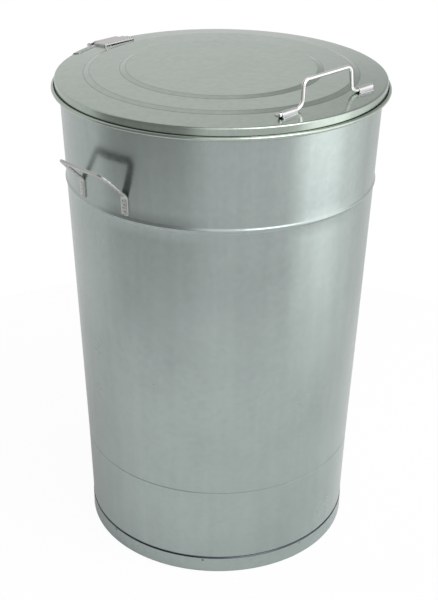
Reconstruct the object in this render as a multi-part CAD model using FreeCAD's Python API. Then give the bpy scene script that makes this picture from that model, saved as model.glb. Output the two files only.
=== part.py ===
import FreeCAD, Part
import math
import os

# Galvanized trash can with a hinged lid, in millimetres.
# Origin: centre of the foot ring, on the floor. +Z is up, -Y is the front (the lid handle's
# side), +Y is the rear (the hinge's side) and the two side handles are on -X and +X.

Vector = FreeCAD.Vector
UP = Vector(0, 0, 1)
ALONG_X = Vector(1, 0, 0)

# ---- can: tapered wall with a wired rim -------------------------------------------------
can_height = 718.7          # floor to the top of the rolled rim
mouth_r = 228.6             # outside of the wall just under the rolled rim
upper_taper = 22.8          # how much narrower the wall is at its crease than at the mouth
crease_z = 146.7            # forming line where the taper eases
lower_taper = 3.5           # how much narrower it is at its lower edge than at the crease
wall_bottom_z = 27.0        # lower edge of the wall, above the floor
wall_t = 0.8
bead_drop = 144.7           # top of the rim to the middle of the stiffening bead
bead_height = 9.0
bead_out = 1.8
rim_wire_d = 3.2
rim_wire_gap = 0.05         # air between the wire and the sheet rolled round it
rim_curl_end = -110.0       # degrees, where the rolled sheet stops under the wire
seam_angle = 60.0           # degrees from +X to the lapped side seam
seam_lap = 14.0
seam_top_gap = 6.0          # the lap ends this far under the rim wire

# ---- base -------------------------------------------------------------------------------
foot_flare = 0.5            # how far the ring stands out past the wall's lower edge
ring_shoulder_z = 24.4      # above this the ring is set in, to nest inside the wall
ring_set_in_run = 1.2
foot_ring_t = 1.2
foot_ring_height = 46.0
foot_hem_height = 8.0       # folded edge that stands on the floor
ring_weld_count = 8
ring_weld_start = 39.6      # degrees from +X to the first weld
ring_weld_z = 20.5
pan_z = 40.0                # top of the can's floor
pan_t = 0.8
pan_corner_r = 5.0
pan_flange_bottom_z = 14.0
pan_well_inset = 52.3       # wall to the edge of the shallow well pressed into the floor
pan_well_depth = 3.0
pan_well_run = 8.0
nest_gap = 0.05             # air between sheets that are nested and welded

# ---- lid --------------------------------------------------------------------------------
lid_t = 0.8
lid_seat_gap = 0.4          # rolled rim to the underside of the lid
lid_side_gap = 0.9          # rolled rim to the lid's skirt, all round
lid_corner_r = 3.0
lid_hem_drop = 14.3         # lid top to the middle of the rolled hem
lid_hem_hollow_r = 2.1
lid_hem_end = 100.0         # degrees, where the rolled sheet stops
step_1_inset = 40.4         # lid edge to the foot of the outer step
step_1_run = 8.5
step_2_inset = 91.4         # lid edge to the foot of the inner step
step_2_run = 8.0
rise_to_step_1 = 3.7
step_1_rise = 2.7
rise_to_step_2 = 1.1
step_2_rise = 2.5
crown_rise = 0.6

# ---- side handles -----------------------------------------------------------------------
side_handle_half_width = 49.5
side_strap_w = 11.5
side_strap_edge_t = 2.3
side_strap_crown_t = 3.3
side_handle_over_bead = 6.0
side_foot_length = 25.0
side_bend_r = 18.0
side_lean = 45.0            # degrees from upright
side_handle_length = 79.5   # along the strap's face, foot to grip
side_corner_r = 15.0        # outer corner
weld_d = 3.0
weld_sink = 0.5             # the weld's face lies this far below the sheet's
weld_gap = 0.02
foot_weld_count = 5
foot_weld_pitch = 5.0
foot_weld_stagger = 2.0
foot_weld_h = 2.8

# ---- hinge ------------------------------------------------------------------------------
hinge_shift_x = -14.0       # the hinge sits a little to the left of the middle
hinge_pin_d = 5.0
hinge_pin_gap = 0.05
pin_head_d = 8.0
pin_head_t = 1.6
pin_out = 14.6              # lid edge to the pin, outwards
pin_drop = 8.4              # lid top to the pin, downwards
leaf_t = 1.5
leaf_w = 57.0
leaf_front_inset = 31.0     # lid edge to the plate's front edge
leaf_back_inset = 4.0
leaf_stand = 3.2            # the plate's top above the lid
leaf_shoulder_out = 3.1     # lid edge to the bend over the rim
leaf_shoulder_up = 3.0
leaf_shoulder_bend = 1.05   # how far the bend's inner corner lies inside the outer one
tongue_w = 40.0
leaf_side_clear = 0.8       # turned-down side edges to the rim strip
leaf_weld_inset = 3.6       # side and front edges to the first weld
leaf_weld_pitch = 4.2
leaf_boss_d = 4.8           # pressed-down cup round each weld
bracket_t = 2.0
bracket_side_gap = 0.4      # knuckle to each ear
bracket_base_w = 62.0
bracket_top_drop = 28.7     # top of the rim to the bracket's upper edge
bracket_height = 34.0
ear_root_depth = 7.75       # the ears start this far inside the wall and are cut to it
bracket_weld_inset = 7.5    # base's upper and lower edges to its welds
ear_boss_r = 5.5
ear_front_clear = 2.4       # ear to the lid's rolled hem
stop_out = 10.0             # pin to the stop web
stop_depth = 9.0
stop_clear = 0.3
lid_open_angle = 110.0
bracket_weld_d = 5.0
strip_start = 83.9          # degrees from +X
strip_end = 113.9
strip_t = 1.2
strip_top_w = 11.0
strip_skirt_h = 7.0
strip_weld_count = 5

# ---- lid handle -------------------------------------------------------------------------
handle_shift_x = 3.0
handle_wire_d = 5.5
handle_inset = 39.4         # lid edge to the handle, inwards
handle_top_x = 46.0         # middle of the handle to the corners of its grip
handle_skew = 2.0           # the bent grip leans this far to the left
handle_base_x = 49.0
handle_end_x = 93.0
handle_rise = 36.5          # pivot axis to the middle of the grip
handle_top_bend_r = 9.0
handle_base_bend_r = 13.0
handle_lid_gap = 0.4        # wire to the lid, where it bends up
clip_x = 75.3
clip_length = 28.5
clip_rear_reach = 12.0      # wire's axis to the flange's rear edge
clip_front_reach = 6.0      # wire's axis to the short lip in front
clip_t = 1.2
clip_gap = 0.04             # wire to the clip's saddle
clip_weld_count = 3
clip_weld_pitch = 7.5
clip_weld_y = 8.6

# ---- places that follow from the sizes above --------------------------------------------
crease_r = mouth_r - upper_taper
wall_bottom_r = crease_r - lower_taper
foot_ring_r = wall_bottom_r + foot_flare
ring_top_r = wall_bottom_r - wall_t - nest_gap
pan_well_r = wall_bottom_r - pan_well_inset
bead_z = can_height - bead_drop
side_handle_bottom_z = bead_z + side_handle_over_bead
bracket_top_z = can_height - bracket_top_drop
curl_r = rim_wire_d / 2 + rim_wire_gap
curl_z = can_height - curl_r - wall_t
rim_out_r = mouth_r + 2 * curl_r + wall_t
lid_r = rim_out_r + lid_side_gap + lid_t
lid_z = can_height + lid_seat_gap + lid_t
step_1_r = lid_r - step_1_inset
step_2_r = lid_r - step_2_inset
lid_slope = rise_to_step_1 / (step_1_inset - lid_corner_r)
pin_y = lid_r + pin_out
pin_z = lid_z - pin_drop
knuckle_in_r = hinge_pin_d / 2 + hinge_pin_gap
knuckle_out_r = knuckle_in_r + leaf_t
handle_y = handle_inset - lid_r


def between(low, high, share):
    """Number that lies the given share of the way from low to high."""
    return low + (high - low) * share


def wall_r(z):
    """Outside radius of the plain tapered wall at a height."""
    if z < crease_z:
        share = (z - wall_bottom_z) / (crease_z - wall_bottom_z)
        return between(wall_bottom_r, crease_r, share)
    return between(crease_r, mouth_r, (z - crease_z) / (curl_z - crease_z))


def rim_surface_z(r):
    """Height of the lid's outer, gently sloping ring."""
    return lid_z + (lid_r - lid_corner_r - r) * lid_slope


def round_point(centre, r, degrees):
    """Point on a circle in a flat section, 0 degrees outwards and 90 degrees up."""
    angle = math.radians(degrees)
    return (centre[0] + r * math.cos(angle), centre[1] + r * math.sin(angle))


def section(start, *steps):
    """Closed face in the X-Z plane. A step is an end point, or a point on an arc and its end."""
    edges = []
    here = Vector(start[0], 0, start[1])
    for step in steps + (start,):
        if isinstance(step[0], tuple):
            middle, end = [Vector(p[0], 0, p[1]) for p in step]
            edges.append(Part.Arc(here, middle, end).toShape())
        else:
            end = Vector(step[0], 0, step[1])
            edges.append(Part.makeLine(here, end))
        here = end
    return Part.Face(Part.Wire(edges))


def turned(face, degrees=360.0, start=0.0):
    """Solid of revolution about the can's axis."""
    solid = face.revolve(Vector(), UP, degrees)
    solid.rotate(Vector(), UP, start)
    return solid


def across(start, *steps, width, middle=0.0):
    """Slab along X from a section drawn in the Y-Z plane."""
    face = section(start, *steps)
    face.rotate(Vector(), UP, 90)
    face.translate(Vector(middle - width / 2, 0, 0))
    return face.extrude(ALONG_X * width)


def rod(base, direction, length, diameter):
    """Round bar that starts at base."""
    return Part.makeCylinder(diameter / 2, length, base, direction)


def joined(first, *others):
    """One solid from overlapping or touching ones."""
    return first.fuse(list(others)).removeSplitter()


def wall_edge(offset, top):
    """Points up one face of the wall, with the bead's three points in the middle."""
    low, high = bead_z - bead_height / 2, bead_z + bead_height / 2
    return [
        (wall_r(wall_bottom_z) + offset, wall_bottom_z),
        (wall_r(crease_z) + offset, crease_z),
        (wall_r(low) + offset, low),
        (wall_r(bead_z) + bead_out + offset, bead_z),
        (wall_r(high) + offset, high),
        (wall_r(top) + offset, top),
    ]


def can_wall():
    """Tapered sheet with a bead, rolled outwards round the rim wire, and its lapped seam."""
    out, back = wall_edge(0, curl_z), wall_edge(-wall_t, curl_z)
    centre = (mouth_r + curl_r, curl_z)
    half_way = (180 + rim_curl_end) / 2
    shell = turned(section(
        out[0], out[1], out[2], (out[3], out[4]), out[5],
        (round_point(centre, curl_r, half_way), round_point(centre, curl_r, rim_curl_end)),
        round_point(centre, curl_r + wall_t, rim_curl_end),
        (round_point(centre, curl_r + wall_t, half_way), back[5]),
        back[4], (back[3], back[2]), back[1], back[0]))
    seam_top = curl_z - curl_r - wall_t - seam_top_gap
    lap, wall = wall_edge(wall_t, seam_top), wall_edge(0, seam_top)
    seam = turned(section(
        lap[0], lap[1], lap[2], (lap[3], lap[4]), lap[5], wall[5],
        wall[4], (wall[3], wall[2]), wall[1], wall[0]),
        math.degrees(seam_lap / mouth_r), seam_angle)
    return joined(shell, seam)


def rim_wire():
    """Steel wire inside the can's rolled rim."""
    return Part.makeTorus(mouth_r + curl_r, rim_wire_d / 2, Vector(0, 0, curl_z))


def ring_outside(z):
    """Outside radius of the foot ring: wide below its shoulder, set in above it."""
    share = (z - ring_shoulder_z) / ring_set_in_run
    return between(foot_ring_r, ring_top_r, max(0, min(share, 1)))


def ring_line(offset, low, high):
    """Corners up one face of the ring, a given way inwards from its outside."""
    set_in_z = ring_shoulder_z + ring_set_in_run
    return [(ring_outside(z) - offset, z) for z in (low, ring_shoulder_z, set_in_z, high)]


def foot_ring():
    """Band under the wall, set in at its shoulder, with a folded lower edge."""
    outside = ring_line(0, 0, foot_ring_height)
    inside = ring_line(foot_ring_t, foot_hem_height, foot_ring_height)
    return turned(section(
        *outside, *reversed(inside),
        (foot_ring_r - 2 * foot_ring_t, foot_hem_height), (foot_ring_r - 2 * foot_ring_t, 0)))


def bottom_pan():
    """Pressed floor with a long flange that follows the foot ring's inner face."""
    corner_z = pan_z - pan_corner_r
    outside = ring_line(foot_ring_t + nest_gap, pan_flange_bottom_z, corner_z)
    inside = ring_line(foot_ring_t + nest_gap + pan_t, pan_flange_bottom_z, corner_z)
    corner = (outside[-1][0] - pan_corner_r, corner_z)
    well_z = pan_z - pan_well_depth
    return turned(section(
        (0, well_z), (pan_well_r, well_z), (pan_well_r + pan_well_run, pan_z),
        (corner[0], pan_z),
        (round_point(corner, pan_corner_r, 45), outside[-1]),
        *outside[-2::-1], *inside,
        (round_point(corner, pan_corner_r - pan_t, 45), (corner[0], pan_z - pan_t)),
        (pan_well_r + pan_well_run, pan_z - pan_t), (pan_well_r, well_z - pan_t),
        (0, well_z - pan_t)))


def lid_surface():
    """Points of the lid's upper face, from the middle to the rounded edge."""
    edge_z = lid_z
    z_1 = edge_z + rise_to_step_1
    z_2 = z_1 + step_1_rise
    z_3 = z_2 + rise_to_step_2
    z_4 = z_3 + step_2_rise
    return [
        (0, z_4 + crown_rise), (step_2_r - step_2_run, z_4), (step_2_r, z_3),
        (step_1_r - step_1_run, z_2), (step_1_r, z_1), (lid_r - lid_corner_r, edge_z)]


def lid_shell():
    """Pressed lid: two steps up to the middle, a skirt, and a hem rolled outwards."""
    top = lid_surface()
    under = [(r, z - lid_t) for r, z in top]
    corner = (lid_r - lid_corner_r, lid_z - lid_corner_r)
    hem_z = lid_z - lid_hem_drop
    hem = (lid_r + lid_hem_hollow_r, hem_z)
    half_way = (180 + 360 + lid_hem_end) / 2
    roll_r = lid_hem_hollow_r + lid_t
    return turned(section(
        *top, (round_point(corner, lid_corner_r, 45), (lid_r, corner[1])), (lid_r, hem_z),
        (round_point(hem, lid_hem_hollow_r, half_way),
         round_point(hem, lid_hem_hollow_r, lid_hem_end)),
        round_point(hem, roll_r, lid_hem_end),
        (round_point(hem, roll_r, half_way), (lid_r - lid_t, hem_z)),
        (lid_r - lid_t, corner[1]),
        (round_point(corner, lid_corner_r - lid_t, 45), under[-1]),
        *under[-2::-1]))


def lid_block(gap=0.03):
    """Everything below the lid's upper face, raised by a gap: what sits on the lid is cut to it."""
    top = [(r, z + gap) for r, z in lid_surface()]
    corner = (lid_r - lid_corner_r, lid_z - lid_corner_r)
    floor_z = lid_z - lid_hem_drop
    return turned(section(
        *top, (round_point(corner, lid_corner_r + gap, 45), (lid_r + gap, corner[1])),
        (lid_r + gap, floor_z), (0, floor_z)))


def weld_plug(point, normal, depth, diameter):
    """Spot weld's nugget, from below the welded sheet up to a little under its face."""
    return rod(point - normal * weld_gap, normal, depth - weld_sink + weld_gap, diameter)


def weld_hole(point, normal, diameter, reach=8.0):
    """Opening in the welded sheet that the nugget fills."""
    return rod(point - normal * reach, normal, 2 * reach, diameter + 2 * weld_gap)


# ---- side handles -----------------------------------------------------------------------
strap_s = side_handle_half_width - side_strap_w / 2
strap_l = side_handle_length - side_strap_w / 2
strap_turn_r = side_corner_r - side_strap_w / 2
foot_top_z = side_handle_bottom_z + side_foot_length
wall_lean = math.atan2(mouth_r - crease_r, curl_z - crease_z)


def strap_place(s, l):
    """Point under the strap, its outward normal and its way up, on a handle at +X."""
    bend = side_bend_r * (math.radians(side_lean) - wall_lean)
    past = max(l - side_foot_length, 0)
    lean = wall_lean + min(past, bend) / side_bend_r
    straight = max(past - bend, 0)
    freed = min(past / bend, 1)
    z = side_handle_bottom_z + min(l, side_foot_length)
    radius = wall_r(z) + nest_gap
    turn = math.asin(s / radius) * (1 - freed)
    out = side_bend_r * (math.cos(wall_lean) - math.cos(lean)) + straight * math.sin(lean)
    rise = side_bend_r * (math.sin(lean) - math.sin(wall_lean)) + straight * math.cos(lean)
    x = between(math.sqrt(radius ** 2 - s ** 2), radius, freed) + out
    sideways = Vector(-math.sin(turn), math.cos(turn), 0)
    ahead = Vector(math.cos(turn), math.sin(turn), 0)
    up = ahead * math.sin(lean) + UP * math.cos(lean)
    normal = ahead * math.cos(lean) - UP * math.sin(lean)
    return Vector(x, s, z + rise), normal, up, sideways


def strap_section(s, l, turn):
    """Crowned section of the strap, square to its path. turn is 0 on one leg, 180 on the other."""
    point, normal, up, sideways = strap_place(s, l)
    angle = math.radians(turn)
    wide = (sideways * math.cos(angle) + up * math.sin(angle)) * (side_strap_w / 2)
    edge = normal * side_strap_edge_t
    corners = [point - wide, point + wide, point + wide + edge, point - wide + edge]
    crown = Part.Arc(corners[2], point + normal * side_strap_crown_t, corners[3]).toShape()
    sides = [Part.makeLine(corners[i], corners[i + 1]) for i in (0, 1)]
    return Part.Wire(sides + [crown, Part.makeLine(corners[3], corners[0])])


def side_handle_path():
    """Places along one half of the strap: up the leg, round the corner, to the grip."""
    corner_l = strap_l - strap_turn_r
    leg = [0, side_foot_length / 2, side_foot_length]
    bend_steps = 5
    for i in range(1, bend_steps + 1):
        leg.append(between(side_foot_length, corner_l, i / bend_steps))
    path = [(strap_s, l, 0) for l in leg]
    corner_steps = 4
    for i in range(1, corner_steps + 1):
        turn = 90 * i / corner_steps
        s, l = round_point((strap_s - strap_turn_r, corner_l), strap_turn_r, turn)
        path.append((s, l, turn))
    return path


def side_handle():
    """Strap handle at +X: a leaning U of crowned strip with two upright feet on the wall."""
    half = side_handle_path()
    grip = [(0, strap_l, 90)]
    other = [(-s, l, 180 - turn) for s, l, turn in reversed(half)]
    strap = Part.makeLoft([strap_section(*place) for place in half + grip + other], True, False)
    holes = [weld_hole(p, n, weld_d) for p, n in side_handle_welds()]
    return strap.cut([wall_block()] + holes)


def side_handle_welds():
    """Places of the spot welds in both feet, in a zigzag up each foot."""
    places = []
    for side in (-1, 1):
        for i in range(foot_weld_count):
            l = side_foot_length / 2 + (i - (foot_weld_count - 1) / 2) * foot_weld_pitch
            s = side * (strap_s + (i % 2 - 0.5) * foot_weld_stagger)
            point, normal = strap_place(s, l)[:2]
            places.append((point, normal))
    return places


def side_handle_nuggets():
    """Welds of the handle at +X."""
    return [weld_plug(p, n, foot_weld_h, weld_d) for p, n in side_handle_welds()]


def half_turn(shape):
    """The same shape on the other side of the can."""
    copy = shape.copy()
    copy.rotate(Vector(), UP, 180)
    return copy


# ---- foot ring welds --------------------------------------------------------------------
ring_weld_angles = [ring_weld_start + i * 360 / ring_weld_count for i in range(ring_weld_count)]


def ring_frame(angle, z):
    """Point on the foot ring's inner face and the outward direction there."""
    turn = math.radians(angle)
    out = Vector(math.cos(turn), math.sin(turn), 0)
    return out * (ring_outside(z) - foot_ring_t) + UP * z, out


def foot_ring_nuggets():
    """Welds that hold the foot ring to the pan's flange."""
    return [weld_plug(*ring_frame(a, ring_weld_z), foot_ring_t, weld_d) for a in ring_weld_angles]


# ---- hinge ------------------------------------------------------------------------------
def leaf_top_line():
    """Corners of the hinge leaf's upper face: front edge, back edge, shoulder over the rim."""
    front_r = lid_r - leaf_front_inset
    back_r = lid_r - leaf_back_inset
    return [
        (front_r, rim_surface_z(front_r) + leaf_stand),
        (back_r, rim_surface_z(back_r) + leaf_stand),
        (lid_r + leaf_shoulder_out, lid_z + leaf_shoulder_up)]


def tongue_normal():
    """Angle of the tongue's outward face, where it runs tangent to the knuckle."""
    shoulder = leaf_top_line()[2]
    dy, dz = shoulder[0] - pin_y, shoulder[1] - pin_z
    return math.atan2(dz, dy) - math.acos(knuckle_out_r / math.hypot(dy, dz))


def leaf_welds():
    """Places of the three welds beside each front corner of the leaf."""
    y = lid_r - leaf_front_inset + leaf_weld_inset
    places = []
    for side in (-1, 1):
        for i in range(3):
            from_middle = leaf_w / 2 - leaf_weld_inset - i * leaf_weld_pitch
            x = hinge_shift_x + side * from_middle
            places.append(Vector(x, y, rim_surface_z(math.hypot(x, y))))
    return places


def hinge_leaf():
    """Lid's hinge leaf: a raised plate with turned-down edges, and a tongue with a knuckle."""
    front, back, shoulder = leaf_top_line()
    t = leaf_t
    plate = across(front, back, (back[0], back[1] - t), (front[0], front[1] - t),
                   width=leaf_w, middle=hinge_shift_x)
    lip_bottom = lid_z - lid_corner_r
    lip = across(front, (front[0], lip_bottom), (front[0] + t, lip_bottom),
                 (front[0] + t, front[1]), width=leaf_w, middle=hinge_shift_x)
    plate_reach = abs(hinge_shift_x) + leaf_w / 2
    side_end = math.sqrt((lid_r - strip_top_w) ** 2 - plate_reach ** 2) - leaf_side_clear
    side_end_z = rim_surface_z(side_end) + leaf_stand
    sides = [
        across(front, (side_end, side_end_z), (side_end, lip_bottom), (front[0], lip_bottom),
               width=t, middle=hinge_shift_x + side * (leaf_w - t) / 2)
        for side in (-1, 1)]
    angle = tongue_normal()
    out_y, out_z = math.cos(angle), math.sin(angle)
    tangent = (pin_y + knuckle_out_r * out_y, pin_z + knuckle_out_r * out_z)
    tongue = across(
        back, shoulder, tangent,
        (tangent[0] - t * out_y, tangent[1] - t * out_z), (shoulder[0] - leaf_shoulder_bend, shoulder[1] - t),
        (back[0], back[1] - t), width=tongue_w, middle=hinge_shift_x)
    barrel_start = Vector(hinge_shift_x - tongue_w / 2, pin_y, pin_z)
    barrel = rod(barrel_start, ALONG_X, tongue_w, 2 * knuckle_out_r)
    bosses = []
    for weld in leaf_welds():
        share = (weld.y - front[0]) / (back[0] - front[0])
        height = between(front[1], back[1], share) - lip_bottom
        bosses.append(rod(Vector(weld.x, weld.y, lip_bottom), UP, height, leaf_boss_d))
    leaf = joined(plate, lip, tongue, barrel, *sides, *bosses)
    bore = rod(barrel_start - ALONG_X, ALONG_X, tongue_w + 2, 2 * knuckle_in_r)
    holes = [weld_hole(p, UP, weld_d) for p in leaf_welds()]
    return leaf.cut([bore, lid_block()] + holes)


ear_half_gap = tongue_w / 2 + bracket_side_gap
ear_bottom_z = bracket_top_z - bracket_height


def hinge_bracket():
    """Can's hinge bracket: a base on the wall, two ears that carry the pin, and a stop web."""
    middle = hinge_shift_x
    block_y = wall_r(ear_bottom_z) - ear_root_depth
    reach_y = pin_y + stop_out
    base_box = Part.makeBox(bracket_base_w, mouth_r, bracket_height,
                            Vector(middle - bracket_base_w / 2, 0, ear_bottom_z))
    base = base_box.common(wall_layer(bracket_t))
    angle = tongue_normal() - math.radians(lid_open_angle)
    reach = stop_out - bracket_t
    stop_z = pin_z + (reach * math.cos(angle) - knuckle_out_r - stop_clear) / -math.sin(angle)
    hem_bottom_z = lid_z - lid_hem_drop - lid_hem_hollow_r - lid_t
    hem_out_r = lid_r + 2 * lid_hem_hollow_r + lid_t
    neck_y = hem_out_r + ear_front_clear
    neck_z = hem_bottom_z - ear_front_clear
    boss = round_point((pin_y, pin_z), ear_boss_r, 180)
    ear_outline = (
        (block_y, bracket_top_z), (neck_y, neck_z), boss,
        (round_point((pin_y, pin_z), ear_boss_r, 90), round_point((pin_y, pin_z), ear_boss_r, 0)),
        (pin_y + ear_boss_r, stop_z), (reach_y, stop_z), (reach_y, stop_z - stop_depth),
        (block_y, ear_bottom_z))
    ears = []
    for side in (-1, 1):
        ear_x = middle + side * (ear_half_gap + bracket_t / 2)
        ears.append(across(*ear_outline, width=bracket_t, middle=ear_x))
    web = across((reach_y - bracket_t, stop_z), (reach_y, stop_z), (reach_y, stop_z - stop_depth),
                 (reach_y - bracket_t, stop_z - stop_depth),
                 width=2 * (ear_half_gap + bracket_t), middle=middle)
    whole = joined(base, web, *ears)
    bore = rod(Vector(middle - leaf_w, pin_y, pin_z), ALONG_X, 2 * leaf_w, 2 * knuckle_in_r)
    holes = [weld_hole(p, n, bracket_weld_d) for p, n in bracket_welds()]
    return whole.cut([bore, wall_block()] + holes)


def wall_block():
    """Everything inside the wall's outer face, with a little air."""
    top = curl_z - curl_r - wall_t
    edge = wall_edge(nest_gap, top)
    return turned(section((0, wall_bottom_z), edge[0], edge[1], edge[5], (0, top)))


def wall_layer(thickness):
    """Sheet of a given thickness that lies on the wall above its bead."""
    low, high = bead_z + bead_height, curl_z - curl_r - wall_t
    return turned(section(
        (wall_r(low) + nest_gap, low), (wall_r(high) + nest_gap, high),
        (wall_r(high) + nest_gap + thickness, high), (wall_r(low) + nest_gap + thickness, low)))


def bracket_welds():
    """Places of the four welds that hold the bracket's base, and their directions."""
    places = []
    for side in (-1, 1):
        for z in (ear_bottom_z + bracket_weld_inset, bracket_top_z - bracket_weld_inset):
            x = hinge_shift_x + side * (bracket_base_w / 2 + ear_half_gap + bracket_t) / 2
            radius = wall_r(z) + nest_gap
            out = Vector(x / radius, math.sqrt(1 - (x / radius) ** 2), 0)
            normal = out * math.cos(wall_lean) - UP * math.sin(wall_lean)
            places.append((out * radius + UP * z, normal))
    return places


def bracket_nuggets():
    """Welds of the hinge bracket."""
    return [weld_plug(p, n, bracket_t, bracket_weld_d) for p, n in bracket_welds()]


def hinge_pin():
    """Hinge pin with two peened heads."""
    outer_x = ear_half_gap + bracket_t + hinge_pin_gap
    start = Vector(hinge_shift_x - outer_x - pin_head_t, pin_y, pin_z)
    length = 2 * (outer_x + pin_head_t)
    left_head = rod(start, ALONG_X, pin_head_t, pin_head_d)
    right_head = rod(start + ALONG_X * (length - pin_head_t), ALONG_X, pin_head_t, pin_head_d)
    return joined(rod(start, ALONG_X, length, hinge_pin_d), left_head, right_head)


def rim_strip():
    """Reinforcing strip bent over the lid's edge beside the hinge."""
    gap = nest_gap
    inner_r = lid_r - strip_top_w
    corner = (lid_r - lid_corner_r, lid_z - lid_corner_r)
    foot_z = lid_z - lid_corner_r - strip_skirt_h
    inside, outside = lid_corner_r + gap, lid_corner_r + gap + strip_t
    strip = turned(section(
        (inner_r, rim_surface_z(inner_r) + gap), (corner[0], lid_z + gap),
        (round_point(corner, inside, 45), (lid_r + gap, corner[1])), (lid_r + gap, foot_z),
        (lid_r + gap + strip_t, foot_z), (lid_r + gap + strip_t, corner[1]),
        (round_point(corner, outside, 45), (corner[0], lid_z + gap + strip_t)),
        (inner_r, rim_surface_z(inner_r) + gap + strip_t)),
        strip_end - strip_start, strip_start)
    return strip.cut([weld_hole(p, UP, weld_d) for p in strip_welds()])


def strip_welds():
    """Places of the welds along the strip's flat edge, clear of the hinge leaf."""
    r = lid_r - lid_corner_r - (strip_top_w - lid_corner_r) / 2
    leaf_edge = hinge_shift_x - leaf_w / 2 - weld_d
    first = math.degrees(math.acos(leaf_edge / r))
    last = strip_end - math.degrees(weld_d / r)
    places = []
    for i in range(strip_weld_count):
        angle = math.radians(between(first, last, i / (strip_weld_count - 1)))
        places.append(Vector(r * math.cos(angle), r * math.sin(angle), rim_surface_z(r)))
    return places


# ---- lid handle -------------------------------------------------------------------------
under_bend_z = rim_surface_z(math.hypot(handle_base_x, handle_y))
handle_z = under_bend_z + handle_lid_gap + handle_wire_d / 2


def bent_wire_path(points, radii):
    """Wire along straight runs joined by tangent arcs."""
    edges = []
    here = points[0]
    for before, corner, after, r in zip(points, points[1:], points[2:], radii):
        to_before, to_after = (before - corner).normalize(), (after - corner).normalize()
        half = to_before.getAngle(to_after) / 2
        start = corner + to_before * (r / math.tan(half))
        end = corner + to_after * (r / math.tan(half))
        towards = (to_before + to_after).normalize()
        middle = corner + towards * (r / math.sin(half) - r)
        edges += [Part.makeLine(here, start), Part.Arc(start, middle, end).toShape()]
        here = end
    edges.append(Part.makeLine(here, points[-1]))
    return Part.Wire(edges)


def lid_handle():
    """Handle of round wire: two feet in one line, two legs and a straight grip."""
    top_z = handle_z + handle_rise
    left = [(-handle_end_x, handle_z), (-handle_base_x, handle_z),
            (-handle_top_x - handle_skew, top_z)]
    right = [(handle_top_x - handle_skew, top_z), (handle_base_x, handle_z),
             (handle_end_x, handle_z)]
    points = [Vector(x + handle_shift_x, handle_y, z) for x, z in left + right]
    radii = [handle_base_bend_r, handle_top_bend_r, handle_top_bend_r, handle_base_bend_r]
    path = bent_wire_path(points, radii)
    ring = Part.Wire(Part.makeCircle(handle_wire_d / 2, points[0], ALONG_X))
    return path.makePipeShell([ring], True, True)


def clip_plane(side):
    """Middle of a clip on the lid, and the direction square to the lid there."""
    x = handle_shift_x + side * clip_x
    r = math.hypot(x, handle_y)
    normal = Vector(lid_slope * x / r, lid_slope * handle_y / r, 1).normalize()
    return Vector(x, handle_y, rim_surface_z(r)), normal


def clip_welds(side):
    """Places of the welds in a clip's rear flange."""
    middle, normal = clip_plane(side)
    places = []
    for i in range(clip_weld_count):
        x = (i - (clip_weld_count - 1) / 2) * clip_weld_pitch
        drop = (x * normal.x + clip_weld_y * normal.y) / normal.z
        places.append(middle + Vector(x, clip_weld_y, -drop))
    return places


def handle_clip(side):
    """Pressed clip over one foot of the handle: a half-round saddle and a flange behind it."""
    middle, normal = clip_plane(side)
    saddle_in = handle_wire_d / 2 + clip_gap
    saddle_out = saddle_in + clip_t
    start = Vector(middle.x - clip_length / 2, handle_y, handle_z)
    flange = Part.makeBox(clip_length, clip_front_reach + clip_rear_reach, 2 * clip_t,
                          Vector(-clip_length / 2, -clip_front_reach, -clip_t))
    flange.Placement = FreeCAD.Placement(middle, FreeCAD.Rotation(UP, normal))
    hump = rod(start, ALONG_X, clip_length, 2 * saddle_out)
    skirt = Part.makeBox(clip_length, 2 * saddle_out, saddle_out + clip_t,
                         start - Vector(0, saddle_out, saddle_out + clip_t))
    groove = rod(start - ALONG_X, ALONG_X, clip_length + 2, 2 * saddle_in)
    slot = Part.makeBox(clip_length + 2, 2 * saddle_in, saddle_in + clip_t + 1,
                        start - Vector(1, saddle_in, saddle_in + clip_t + 1))
    holes = [weld_hole(p, normal, weld_d) for p in clip_welds(side)]
    return joined(flange, hump, skirt).cut([groove, slot, lid_block()] + holes)


def nuggets_on_lid(places, normal, depth):
    """Weld nuggets that stand on the lid's upper face."""
    reach = lid_corner_r
    block = lid_block()
    return [rod(p - normal * reach, normal, reach + depth - weld_sink, weld_d).cut(block)
            for p in places]


def write(name, shape):
    """Save one piece, or a group of like pieces, under its own name."""
    if isinstance(shape, list):
        shape = Part.makeCompound(shape)
    shape.exportStep("parts/" + name + ".step")


os.makedirs("parts", exist_ok=True)

write("can_wall", can_wall())
write("rim_wire", rim_wire())
write("bottom_pan", bottom_pan())

ring_welds = [ring_frame(a, ring_weld_z) for a in ring_weld_angles]
write("foot_ring", foot_ring().cut([weld_hole(p, n, weld_d) for p, n in ring_welds]))
write("foot_ring_spot_welds", foot_ring_nuggets())

right_handle = side_handle()
right_nuggets = side_handle_nuggets()
write("side_handle_right", right_handle)
write("side_handle_left", half_turn(right_handle))
write("side_handle_spot_welds", right_nuggets + [half_turn(n) for n in right_nuggets])

write("hinge_bracket", hinge_bracket())
write("hinge_bracket_spot_welds", bracket_nuggets())
write("hinge_pin", hinge_pin())

write("lid_shell", lid_shell())
write("hinge_leaf", hinge_leaf())
write("hinge_leaf_spot_welds", nuggets_on_lid(leaf_welds(), UP, leaf_t))
write("lid_rim_strip", rim_strip())
write("lid_rim_strip_spot_welds", nuggets_on_lid(strip_welds(), UP, strip_t))

write("lid_handle", lid_handle())
write("handle_clip_left", handle_clip(-1))
write("handle_clip_right", handle_clip(1))
clip_nuggets = []
for side in (-1, 1):
    clip_nuggets += nuggets_on_lid(clip_welds(side), clip_plane(side)[1], clip_t)
write("handle_clip_spot_welds", clip_nuggets)
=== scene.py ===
import math

import bmesh
import bpy
from mathutils import Matrix, Vector, noise


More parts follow.
